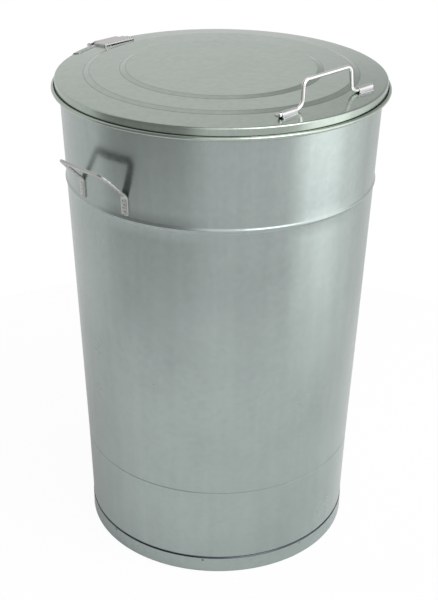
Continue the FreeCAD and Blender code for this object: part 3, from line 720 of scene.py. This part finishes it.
pin_shape = bmesh.new()
pin_half = ear_gap + bracket_t + air
pin_stops = [(-pin_half - out, r) for out, r in pin_head]
pin_stops += [(pin_half + out, r) for out, r in reversed(pin_head)]
tube(pin_shape, [Vector((hinge_x + x, pin_y, pin_z)) for x, r in pin_stops],
     [r for x, r in pin_stops], 28)
finished("hinge_pin_rivet", pin_shape, "can", wire_finish, "hinge_pin", slot="bright_wire")

# ---- Lid ------------------------------------------------------
# A flat lid pressed from 0.8 mm sheet: it slopes gently up to two shallow ring steps, and its
# skirt is turned down over the rim and rolled outwards.

lid_edge_r, lid_edge_z = 0.2344, 0.7199
lid_corner = 0.003
lid_sheet = 0.0008
hem_centre_z = lid_edge_z - 0.0143
hem_hollow = 0.0021
step_blend = 0.0005
outer_foot, inner_foot = lid_edge_r - 0.0404, lid_edge_r - 0.0914
outer_step, inner_step = 0.0085, 0.008  # how wide the two slanting steps are
outer_foot_rise = 0.0037
lid_slope = outer_foot_rise / (lid_edge_r - lid_corner - outer_foot)
lid_wave = 0.0002


def rim_surface_z(r):
    """Height of the lid's outer, gently sloping ring."""
    return lid_edge_z + (lid_edge_r - lid_corner - r) * lid_slope


def lid_line():
    """Corners of the lid's upper face, from the middle out to the rounded edge."""
    rises = [(0.0, 0.0106), (inner_foot - inner_step, 0.0100), (inner_foot, 0.0075),
             (outer_foot - outer_step, 0.0064), (outer_foot, outer_foot_rise),
             (lid_edge_r - lid_corner, 0.0)]
    return [(r, lid_edge_z + rise) for r, rise in rises]


def softened(line, blend, steps=4):
    """The same line with each inner corner rounded over a short length."""
    out = [line[0]]
    for before, corner, after in zip(line, line[1:], line[2:]):
        a, c, b = Vector(before), Vector(corner), Vector(after)
        start, end = c + (a - c).normalized() * blend, c + (b - c).normalized() * blend
        for i in range(steps + 1):
            t = i / steps
            out.append(tuple(start * (1 - t) ** 2 + c * 2 * t * (1 - t) + end * t ** 2))
    return out + [line[-1]]


def refined(line, longest):
    """The same line with its long runs divided."""
    out = [line[0]]
    for (r0, z0), (r1, z1) in zip(line, line[1:]):
        parts = max(1, math.ceil(math.hypot(r1 - r0, z1 - z0) / longest))
        out += [(r0 + (r1 - r0) * i / parts, z0 + (z1 - z0) * i / parts)
                for i in range(1, parts + 1)]
    return out


def lid_section():
    """Closed section of the lid: along the top, down the skirt, round the hem and back."""
    top = refined(softened(lid_line(), step_blend), 0.008)
    corner = (lid_edge_r - lid_corner, lid_edge_z - lid_corner)
    hem = (lid_edge_r + hem_hollow, hem_centre_z)
    skirt = [lid_edge_z - 0.006, lid_edge_z - 0.010]
    outside = top[:-1] + arc_points(corner, lid_corner, 90, 0, 7)
    outside += [(lid_edge_r, z) for z in skirt]
    outside += arc_points(hem, hem_hollow, 180, 460, 18)
    outside += arc_points(hem, hem_hollow + lid_sheet, 460, 180, 24)
    inside = [(lid_edge_r - lid_sheet, z) for z in reversed(skirt)]
    inside += arc_points(corner, lid_corner - lid_sheet, 0, 90, 6)
    under = [(r, z - lid_sheet) for r, z in reversed(top[:-1])]
    return outside + inside + under


def lid_shift(turn, r, z):
    """Slow unevenness of the pressed lid; its rim stays true."""
    fade = max(0.0, min(1.0, (lid_edge_r - lid_corner - r) / 0.03))
    angle = math.radians(turn)
    where = Vector((r * math.cos(angle) * 9, r * math.sin(angle) * 9, 3.0))
    return 0.0, lid_wave * fade * noise.noise(where)


lid_colour = (0.410, 0.465, 0.416)
# Painted shade: thin dark lines at the foot and the top of each ring step.
lid_finish = galvanized("galvanized_lid", lid_colour, 0.20, spangle=0.8, painted_shade_lines=(
    ("radius", outer_foot, 0.0011, 0.30), ("radius", outer_foot - outer_step, 0.0011, 0.22),
    ("radius", inner_foot, 0.0011, 0.30), ("radius", inner_foot - inner_step, 0.0011, 0.22)))
finished("lid_panel", spun(lid_section(), bearings(360), lid_shift), "lid", lid_finish,
         "lid_shell", slot="galvanized_sheet")

# ---- Hinge leaf and rim strip ---------------------------------
# The leaf is a plate pressed up from the lid, with three weld cups beside each front corner;
# its tongue bends over the rim and curls round the pin. The strip stiffens the lid's edge
# beside it and is bent over it.

leaf_w, leaf_front, leaf_back, leaf_stand, leaf_t = 0.057, 0.2034, 0.2304, 0.0032, 0.0015
leaf_skin, leaf_side = 0.0023, 0.0016   # depth of the plate's raised part and width of its sides
tongue_w = 0.040
knuckle_r = 0.00405
cup_inset, cup_pitch, cup_depth = 0.0036, 0.0042, 0.0017
cup_floor_r, cup_r = 0.0010, 0.0022
cup_places = [(side * (leaf_w / 2 - cup_inset - cup_pitch * i), cup_inset)
              for side in (-1, 1) for i in range(3)]


def leaf_surface(a, b):
    """Place of the lid's surface under the leaf."""
    x, y = hinge_x + a, (leaf_front + leaf_back) / 2 + b
    return Vector((x, y, rim_surface_z(math.hypot(x, y))))


def leaf_bend(a, b, h):
    """Leaf's place over the lid."""
    return leaf_surface(a, b) + Vector((0, 0, h + 0.00003))


def cup_distance(a, b):
    """How far a place on the leaf is from the nearest cup's middle."""
    from_front = (leaf_back - leaf_front) / 2 + b
    return min(math.hypot(a - ca, from_front - cb) for ca, cb in cup_places)


def leaf_top(a, b):
    """Upper face: flat, with a cup pressed down to the lid round each weld."""
    y = (leaf_front + leaf_back) / 2 + b
    flat = rim_surface_z(y) + leaf_stand - leaf_surface(a, b).z
    cup = max(0.0, min((cup_r - cup_distance(a, b)) / (cup_r - cup_floor_r), 1.0))
    return flat - cup_depth * cup * cup * (3 - 2 * cup)


def leaf_under(a, b):
    """Under face: clear of the lid, but down on it under the cups and at both sides."""
    if cup_distance(a, b) < cup_r or leaf_w / 2 - abs(a) < leaf_side:
        return 0.0
    return leaf_top(a, b) - leaf_skin


def run_lengths(points):
    """Lengths along a bent section up to each of its points, for sheet that follows it."""
    lengths = [0.0]
    for (y0, z0), (y1, z1) in zip(points, points[1:]):
        lengths.append(lengths[-1] + math.hypot(y1 - y0, z1 - z0))
    return lengths


def along(points, lengths, distance):
    """Point at a length along a section, and the direction to its left."""
    i = 0
    while i < len(points) - 2 and lengths[i + 1] < distance:
        i += 1
    t = (distance - lengths[i]) / (lengths[i + 1] - lengths[i])
    (y0, z0), (y1, z1) = points[i], points[i + 1]
    run = lengths[i + 1] - lengths[i]
    return (y0 + (y1 - y0) * t, z0 + (z1 - z0) * t), (-(z1 - z0) / run, (y1 - y0) / run)


shoulder = (lid_edge_r + 0.0031, lid_edge_z + 0.0030)
reach = Vector((shoulder[0] - pin_y, shoulder[1] - pin_z))
tongue_turn = math.degrees(math.atan2(reach.y, reach.x) - math.acos(knuckle_r / reach.length))
tongue_line = softened([(leaf_back - 0.002, rim_surface_z(leaf_back - 0.002) + leaf_stand),
                        shoulder, arc_points((pin_y, pin_z), knuckle_r, tongue_turn, 0, 1)[0]],
                       0.003)
tongue_line += arc_points((pin_y, pin_z), knuckle_r, tongue_turn, -215, 36)[1:]
tongue_lengths = run_lengths(tongue_line)


def tongue_bend(a, b, h):
    """Tongue's place: its upper face follows the section round the pin."""
    distance = max(0.0, min(b + tongue_lengths[-1] / 2, tongue_lengths[-1]))
    (y, z), (ny, nz) = along(tongue_line, tongue_lengths, distance)
    sink = leaf_t - h
    return Vector((hinge_x + a, y - ny * sink, z - nz * sink))


leaf_shape = bmesh.new()
pressed(leaf_shape, (leaf_w, leaf_back - leaf_front), 0.002, 0.0012, (110, 52), leaf_bend,
        leaf_top, leaf_under)
pressed(leaf_shape, (tongue_w, tongue_lengths[-1]), 0.0004, 0.0004, (16, 90), tongue_bend,
        lambda a, b: leaf_t)
leaf_finish = galvanized("galvanized_leaf", (0.55, 0.535, 0.54), 0.30, spangle=0.3, smudge=0.06)
finished("hinge_leaf_pressing", leaf_shape, "lid", leaf_finish, "hinge_leaf",
         slot="galvanized_fittings")
leaf_places = []
for a, from_front in cup_places:
    b = from_front - (leaf_back - leaf_front) / 2
    leaf_places.append((leaf_bend(a, b, leaf_top(a, b)), Vector((0, 0, 1))))
spot_welds("hinge_leaf_weld_buttons", "lid", 0.0020, 11, leaf_places, "hinge_leaf_spot_welds")

strip_from, strip_to, strip_t = 83.9, 113.9, 0.0012
strip_inner_r, strip_side = lid_edge_r - 0.011, 0.007
strip_thinned, strip_thinning_run = 0.0008, 0.008
strip_dish_depth, strip_dish_r = 0.0005, 0.0022
edge_centre = (lid_edge_r - lid_corner, lid_edge_z - lid_corner)
strip_line = [(strip_inner_r, rim_surface_z(strip_inner_r) + air)]
strip_line += arc_points(edge_centre, lid_corner + air, 90, 0, 10)
strip_line += [(lid_edge_r + air, lid_edge_z - lid_corner - strip_side)]
strip_lengths = run_lengths(strip_line)
strip_arc = math.radians(strip_to - strip_from) * lid_edge_r
strip_weld_r = lid_edge_r - lid_corner - 0.004
strip_first = math.degrees(math.acos((hinge_x - leaf_w / 2 - 0.003) / strip_weld_r))
strip_last = strip_to - math.degrees(0.003 / strip_weld_r)
strip_welds = [math.radians(strip_first + (strip_last - strip_first) * i / 4)
               for i in range(5)]
strip_dents = [(turn * strip_weld_r, strip_weld_r) for turn in strip_welds]


def strip_bend(a, b, h):
    """Strip's place: its section follows the lid's edge, its length goes round it."""
    distance = max(0.0, min(a + strip_lengths[-1] / 2, strip_lengths[-1]))
    (r, z), (nr, nz) = along(strip_line, strip_lengths, distance)
    turn = math.radians((strip_from + strip_to) / 2) + b / lid_edge_r
    r, z = r + nr * h, z + nz * h
    return Vector((r * math.cos(turn), r * math.sin(turn), z))


def strip_top(a, b):
    """Upper face of the strip, thinner inwards and dished at its welds."""
    turn = math.radians((strip_from + strip_to) / 2) + b / lid_edge_r
    r = strip_inner_r + a + strip_lengths[-1] / 2
    inwards = max(0.0, min((lid_edge_r - lid_corner - r) / strip_thinning_run, 1.0))
    dish = dished(turn * strip_weld_r, r, strip_dents, strip_dish_r)
    return strip_t - strip_thinned * inwards - strip_dish_depth * dish


strip_shape = bmesh.new()
pressed(strip_shape, (strip_lengths[-1], strip_arc), 0.002, 0.0004, (36, 200), strip_bend,
        strip_top)
finished("rim_strip_pressing", strip_shape, "lid", lid_finish, "lid_rim_strip",
         slot="galvanized_fittings")
strip_weld_z = rim_surface_z(strip_weld_r) + air + strip_t - 0.0009
strip_places = []
for turn in strip_welds:
    x, y = strip_weld_r * math.cos(turn), strip_weld_r * math.sin(turn)
    strip_places.append((Vector((x, y, strip_weld_z)), Vector((0, 0, 1))))
spot_welds("rim_strip_weld_buttons", "lid", 0.0026, 13, strip_places,
           "lid_rim_strip_spot_welds")

# ---- Lid handle and clips -------------------------------------
# The handle is one length of 5.5 mm plated wire: two feet in line, two legs and a grip. Each
# foot turns under a pressed clip, a half-round saddle with a short lip in front and a flange
# behind that three spot welds hold.

handle_x, handle_y, handle_z = 0.003, -0.195, 0.726051
wire_r = 0.00274
handle_end, handle_base, handle_top, handle_skew, handle_rise = 0.093, 0.049, 0.046, 0.002, 0.0365
base_bend_r, top_bend_r = 0.0122, 0.009


def bent_wire(corners, radii, steps=12):
    """Points along straight runs joined by true arcs."""
    path = [corners[0]]
    for before, corner, after, r in zip(corners, corners[1:], corners[2:], radii):
        back, on = (before - corner).normalized(), (after - corner).normalized()
        half = back.angle(on) / 2
        centre = corner + (back + on).normalized() * (r / math.sin(half))
        start, end = corner + back * (r / math.tan(half)), corner + on * (r / math.tan(half))
        axis = (start - centre).cross(end - centre)
        sweep = math.pi - 2 * half
        for k in range(steps + 1):
            turn = Matrix.Rotation(sweep * k / steps, 3, axis)
            path.append(centre + turn @ (start - centre))
    return path + [corners[-1]]


wire_edge = 0.0006
left = [(-handle_end, 0.0), (-handle_base, 0.0), (-handle_top - handle_skew, handle_rise)]
right = [(handle_top - handle_skew, handle_rise), (handle_base, 0.0), (handle_end, 0.0)]
handle_corners = [Vector((handle_x + x, handle_y, handle_z + z)) for x, z in left + right]
bends = [base_bend_r, top_bend_r, top_bend_r, base_bend_r]
handle_path = bent_wire(handle_corners, bends)
first, last = handle_path[0], handle_path[-1]
inwards = Vector((wire_edge, 0, 0))
handle_path = [first, first + inwards] + handle_path[1:-1] + [last - inwards, last]
handle_radii = [wire_r] * len(handle_path)
handle_radii[0] = handle_radii[-1] = wire_r - wire_edge
handle_shape = bmesh.new()
tube(handle_shape, handle_path, handle_radii, 28)
finished("lid_handle_wire", handle_shape, "lid_handle", wire_finish, "lid_handle",
         slot="bright_wire", crease=50.0)

clip_x, clip_length, clip_t = 0.0753, 0.0285, 0.0012
clip_front, clip_rear, clip_knee_r, clip_gap = 0.006, 0.012, 0.0008, 0.00004
clip_weld_pitch, clip_weld_y, clip_dish_depth, clip_dish_r = 0.0075, 0.0086, 0.0005, 0.0022
clip_welds = [(i * clip_weld_pitch, clip_weld_y) for i in (-1, 0, 1)]


def clip_pressing(side):
    """One clip over a foot of the handle, and its weld places."""
    middle_x = handle_x + side * clip_x
    r = math.hypot(middle_x, handle_y)
    slope_x, slope_y = -lid_slope * middle_x / r, -lid_slope * handle_y / r
    level = rim_surface_z(r)
    saddle_r = wire_r + clip_gap
    lift = handle_z - level
    knee = saddle_r + clip_knee_r
    line = [(-clip_front, 0.0)] + arc_points((-knee, clip_knee_r), clip_knee_r, 270, 360, 5)
    line += [(-saddle_r, lift)] + arc_points((0.0, lift), saddle_r, 180, 0, 18)
    line += arc_points((knee, clip_knee_r), clip_knee_r, 180, 270, 5) + [(clip_rear, 0.0)]
    lengths = run_lengths(line)

    def seat(x, y):
        """Height of the lid's surface, followed by the flanges and not by the saddle."""
        share = max(0.0, min((abs(y) - saddle_r) / 0.003, 1.0))
        lid = rim_surface_z(math.hypot(middle_x + x, handle_y + y)) - level
        return lid * share

    def bend(a, b, h):
        distance = max(0.0, min(b + lengths[-1] / 2, lengths[-1]))
        (y, z), (ny, nz) = along(line, lengths, distance)
        y, z = y + ny * h, z + nz * h
        return Vector((middle_x + a, handle_y + y, level + clip_gap + z + seat(a, y)))

    dents = [(wa, lengths[-1] / 2 - (clip_rear - wy)) for wa, wy in clip_welds]

    def top(a, b):
        return clip_t - clip_dish_depth * dished(a, b, dents, clip_dish_r)

    shape = bmesh.new()
    pressed(shape, (clip_length, lengths[-1]), 0.0018, 0.0004, (52, 70), bend, top)
    up = Vector((-slope_x, -slope_y, 1)).normalized()
    places = []
    for wa, wy in clip_welds:
        lid = rim_surface_z(math.hypot(middle_x + wa, handle_y + wy))
        z = lid + clip_t - clip_dish_depth
        places.append((Vector((middle_x + wa, handle_y + wy, z)), up))
    return shape, places


clip_places = []
clip_finish = galvanized("bright_clip", (0.60, 0.60, 0.61), 0.30, spangle=0.2)
for name, side in (("left", -1), ("right", 1)):
    shape, places = clip_pressing(side)
    clip_places += places
    finished("handle_clip_pressing_" + name, shape, "lid", clip_finish, "handle_clip_" + name,
             slot="galvanized_fittings")
spot_welds("handle_clip_weld_buttons", "lid", 0.0026, 17, clip_places,
           "handle_clip_spot_welds")
bpy.data.objects.remove(weld_button)

# ---- Studio ---------------------------------------------------
# A round white floor in pale surroundings with soft panels: a dark one to the can's left
# front, bright ones to its right and above the camera; one large soft lamp; and the camera
# at the photograph's place.

camera_place = Vector((-1.2226, -1.2376, 1.2468))
camera_turn = (63.0, 0.63, -44.65)      # tilt, roll and heading in degrees
lens_mm, film_mm = 76.28, 36.0

camera_data = bpy.data.cameras.new("photo_camera")
camera_data.lens, camera_data.sensor_width = lens_mm, film_mm
camera_data.clip_end = 50
camera = bpy.data.objects.new("photo_camera", camera_data)
bpy.context.scene.collection.objects.link(camera)
tilt, roll, heading = (math.radians(a) for a in camera_turn)
camera.matrix_world = (Matrix.Translation(camera_place) @ Matrix.Rotation(heading, 4, "Z")
                       @ Matrix.Rotation(tilt, 4, "X") @ Matrix.Rotation(roll, 4, "Z"))
bpy.context.scene.camera = camera


def bearing(turn):
    """Level direction from the can, its turn counted from the camera to its right."""
    angle = heading - math.pi / 2 + math.radians(turn)
    return Vector((math.cos(angle), math.sin(angle), 0.0))


lamp_place, lamp_aim = bearing(38) * 1.3 + Vector((0, 0, 1.7)), Vector((0, 0, 0.4))
lamp_data = bpy.data.lights.new("key_lamp", "AREA")
lamp_data.size, lamp_data.energy = 1.0, 9
lamp = bpy.data.objects.new("key_lamp", lamp_data)
lamp.matrix_world = (Matrix.Translation(lamp_place)
                     @ (lamp_aim - lamp_place).to_track_quat("-Z", "Y").to_matrix().to_4x4())
bpy.context.scene.collection.objects.link(lamp)

world = bpy.data.worlds.new("studio")
bpy.context.scene.world = world
world.use_nodes = True
studio = world.node_tree
back = studio.nodes["Background"]
back.inputs["Color"].default_value = (1, 1, 1, 1)
way = studio.nodes.new("ShaderNodeTexCoord").outputs["Generated"]
level_way = step(studio, "NORMALIZE", step(studio, "MULTIPLY", way, (1, 1, 0), vector=True),
                 vector=True)
steepness = step(studio, "DOT_PRODUCT", way, (0, 0, 1), vector=True)


def panel(glow, turn, sides, rises, level):
    """Surroundings with an upright soft panel of another level.

    sides are the half widths in degrees of its full and outer parts; rises are the heights
    in degrees of its faded and its full edge."""
    towards = step(studio, "DOT_PRODUCT", level_way, bearing(turn), vector=True)
    inner, outer = (math.cos(math.radians(a)) for a in sides)
    low, high = (math.sin(math.radians(a)) for a in rises)
    share = step(studio, "MULTIPLY", reached(studio, towards, outer, inner, smooth=True),
                 reached(studio, steepness, low, high, smooth=True))
    change = step(studio, "MULTIPLY", share, step(studio, "SUBTRACT", level, glow))
    return step(studio, "ADD", glow, change)


around = panel(0.80, 10, (50, 80), (-2, 15), 1.25)
around = panel(around, -54, (24, 46), (-35, -19), 0.28)
around = panel(around, 100, (8, 28), (-34, -22), 1.20)
around = panel(around, 77, (8, 26), (-34, -22), 1.85)
around = panel(around, 138, (22, 40), (-2, 14), 0.50)
seen = studio.nodes.new("ShaderNodeLightPath").outputs["Is Camera Ray"]
pick = studio.nodes.new("ShaderNodeMix")
studio.links.new(seen, pick.inputs["Factor"])
studio.links.new(around, pick.inputs["A"])
pick.inputs["B"].default_value = 1.0
studio.links.new(pick.outputs["Result"], back.inputs["Strength"])

floor_r = 0.85
floor_mesh = bpy.data.meshes.new("floor")
edge = [(x, y, 0.0) for x, y in arc_points((0.0, 0.0), floor_r, 0, 357, 119)]
floor_mesh.from_pydata(edge, [], [range(len(edge))])
floor_finish = bpy.data.materials.new("floor")
floor_finish.use_nodes = True
floor_tree = floor_finish.node_tree
floor_nodes, floor_links = floor_tree.nodes, floor_tree.links
paper = floor_nodes["Principled BSDF"]
paper.inputs["Base Color"].default_value = (0.88, 0.88, 0.88, 1)
paper.inputs["Roughness"].default_value = 0.9
paper.inputs["Specular IOR Level"].default_value = 0.0
white = floor_nodes.new("ShaderNodeEmission")
bare = floor_nodes.new("ShaderNodeMixShader")
direct = floor_nodes.new("ShaderNodeLightPath").outputs["Is Camera Ray"]
floor_links.new(step(floor_tree, "MULTIPLY", direct, 0.95), bare.inputs["Fac"])
floor_links.new(paper.outputs["BSDF"], bare.inputs[1])
floor_links.new(white.outputs["Emission"], bare.inputs[2])
floor_links.new(bare.outputs["Shader"], floor_nodes["Material Output"].inputs["Surface"])
floor_mesh.materials.append(floor_finish)
floor = bpy.data.objects.new("floor", floor_mesh)
bpy.context.scene.collection.objects.link(floor)

bpy.context.scene.view_settings.view_transform = "Standard"
